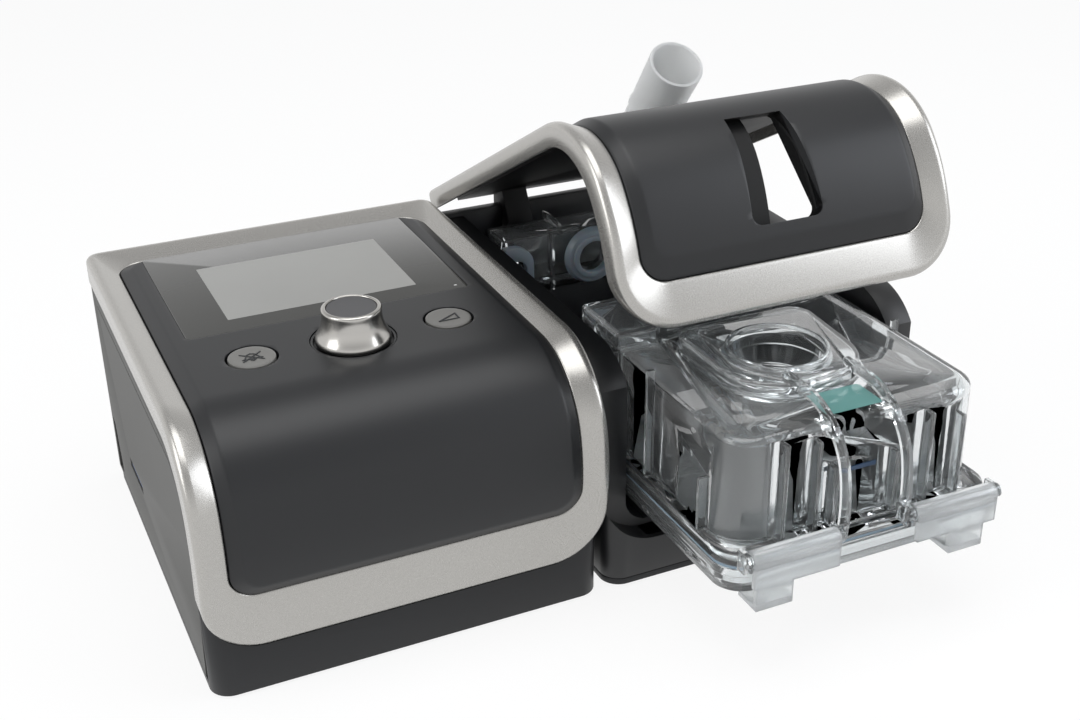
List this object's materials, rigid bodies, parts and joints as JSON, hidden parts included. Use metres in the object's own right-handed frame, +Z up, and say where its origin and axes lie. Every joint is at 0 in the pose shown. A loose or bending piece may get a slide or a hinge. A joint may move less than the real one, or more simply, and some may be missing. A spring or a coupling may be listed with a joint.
{
  "type": "bilevel pap machine",
  "caption": "Table-top bilevel breathing machine with a docked heated humidifier, its lid raised and its clear water chamber pulled out.",
  "frame": {"origin": "middle of the bounding box in plan, on the surface that the rubber feet stand on", "axes": "+X to the right seen from the front, +Y to the rear, +Z up"},
  "size_m": [0.2965, 0.291, 0.1752],
  "materials": {
    "charcoal_plastic": "fine matt moulded plastic",
    "shell_grey": "fine matt moulded plastic",
    "silver_paint": "satin silver paint over plastic",
    "black_plastic": "matt black moulded plastic",
    "display_glass": "glossy tinted window",
    "display_face": "pale grey display face",
    "satin_chrome": "satin chrome plating over plastic",
    "button_grey": "satin grey paint",
    "board_green": "circuit board lacquer",
    "white_plastic": "moulded natural plastic",
    "foam": "open foam",
    "filter_felt": "white felt",
    "rubber_black": "matt rubber",
    "silicone": "translucent silicone",
    "gasket_silicone": "grey-blue silicone",
    "clear_plastic": "clear polycarbonate",
    "clip_plastic": "frosted translucent plastic",
    "aluminium": "rolled aluminium",
    "steel": "plated steel",
    "mark_ink": "printed ink",
    "card_blue": "moulded card"
  },
  "bodies": {
    "housing": {"main_base": "charcoal_plastic", "main_shell": "shell_grey", "bezel_frame": "silver_paint", "top_panel": "charcoal_plastic", "display_lens": "display_glass", "lcd_module": "display_face", "status_lamp": "white_plastic", "knob_well": "charcoal_plastic", "encoder_body": "steel", "button_switches": "black_plastic", "control_board": "board_green", "main_board": "board_green", "volute_lower": "white_plastic", "volute_upper": "white_plastic", "blower_motor": "steel", "blower_dampers": "rubber_black", "silencer_foam": "foam", "inlet_filter": "filter_felt", "power_inlet": "black_plastic", "card_slot": "steel", "air_coupling": "silicone", "dock_hooks": "black_plastic", "main_feet": "rubber_black", "main_screws": "steel", "humidifier_base": "black_plastic", "humidifier_bottom": "charcoal_plastic", "heater_plate": "aluminium", "plate_gasket": "rubber_black", "partition": "black_plastic", "inlet_seal": "silicone", "outlet_seal": "silicone", "air_duct": "clear_plastic", "hinge_pins": "steel", "humidifier_feet": "rubber_black", "humidifier_screws": "steel"},
    "lid": {"lid_bezel": "silver_paint", "lid_panel": "charcoal_plastic", "lid_liner": "black_plastic", "lid_seal": "silicone"},
    "chamber": {"chamber_body": "clear_plastic", "chamber_tray": "clear_plastic", "chamber_gasket": "gasket_silicone", "chamber_plate": "aluminium", "fill_mark": "mark_ink"},
    "left_latch": {"left_clip": "clip_plastic"},
    "right_latch": {"right_clip": "clip_plastic"},
    "knob_stem": {"encoder_shaft": "steel"},
    "knob_turner": {"knob": "satin_chrome", "knob_insert": "shell_grey"},
    "mute_key": {"mute_button": "button_grey"},
    "ramp_key": {"ramp_button": "button_grey"},
    "elbow": {"outlet_elbow": "clear_plastic"},
    "fan": {"impeller": "white_plastic"},
    "filter_door": {"filter_cover": "charcoal_plastic"},
    "port_plug": {"data_port_cover": "rubber_black"},
    "card": {"memory_card": "card_blue"}
  },
  "joints": [
    {"name": "lid_hinge", "type": "hinge", "parent": "housing", "child": "lid", "pos_m": [0.07675, 0.1027, 0.0892], "axis": [-1, 0, 0], "range_deg": [-5, 6.5]},
    {"name": "chamber_slide", "type": "slide", "parent": "housing", "child": "chamber", "axis": [0, -1, 0], "range_m": [-0.07, 0.04]},
    {"name": "left_clip_turn", "type": "hinge", "parent": "chamber", "child": "left_latch", "pos_m": [0.04275, -0.14205, 0.0495], "axis": [-1, 0, 0], "range_deg": [0, 75]},
    {"name": "right_clip_turn", "type": "hinge", "parent": "chamber", "child": "right_latch", "pos_m": [0.11075, -0.14205, 0.0495], "axis": [-1, 0, 0], "range_deg": [0, 75]},
    {"name": "knob_push", "type": "slide", "parent": "housing", "child": "knob_stem", "axis": [0, 0.0122, -0.9999], "range_m": [0, 0.0006], "stiffness_N_per_m": 2500, "springref_m": -0.0006},
    {"name": "knob_turn", "type": "hinge", "parent": "knob_stem", "child": "knob_turner", "pos_m": [-0.07225, -0.02261, 0.10285], "axis": [0, -0.0122, 0.9999], "continuous": true},
    {"name": "mute_press", "type": "slide", "parent": "housing", "child": "mute_key", "axis": [0, 0.0122, -0.9999], "range_m": [0, 0.0006], "stiffness_N_per_m": 1500, "springref_m": -0.0004},
    {"name": "ramp_press", "type": "slide", "parent": "housing", "child": "ramp_key", "axis": [0, 0.0122, -0.9999], "range_m": [0, 0.0006], "stiffness_N_per_m": 1500, "springref_m": -0.0004},
    {"name": "elbow_swivel", "type": "hinge", "parent": "housing", "child": "elbow", "pos_m": [0.12815, 0.10535, 0.0799], "axis": [0, 1, 0], "range_deg": [-22, 22]},
    {"name": "impeller_spin", "type": "hinge", "parent": "housing", "child": "fan", "pos_m": [-0.05625, 0.03535, 0.044], "axis": [0, 0, 1], "continuous": true},
    {"name": "filter_door_hinge", "type": "hinge", "parent": "housing", "child": "filter_door", "pos_m": [-0.10925, 0.09755, 0.0281], "axis": [-1, 0, 0], "range_deg": [0, 95]},
    {"name": "port_plug_pull", "type": "slide", "parent": "housing", "child": "port_plug", "axis": [0, 1, 0], "range_m": [0, 0.006]},
    {"name": "card_slide", "type": "slide", "parent": "housing", "child": "card", "axis": [-1, 0, 0], "range_m": [0, 0.02]}
  ]
}
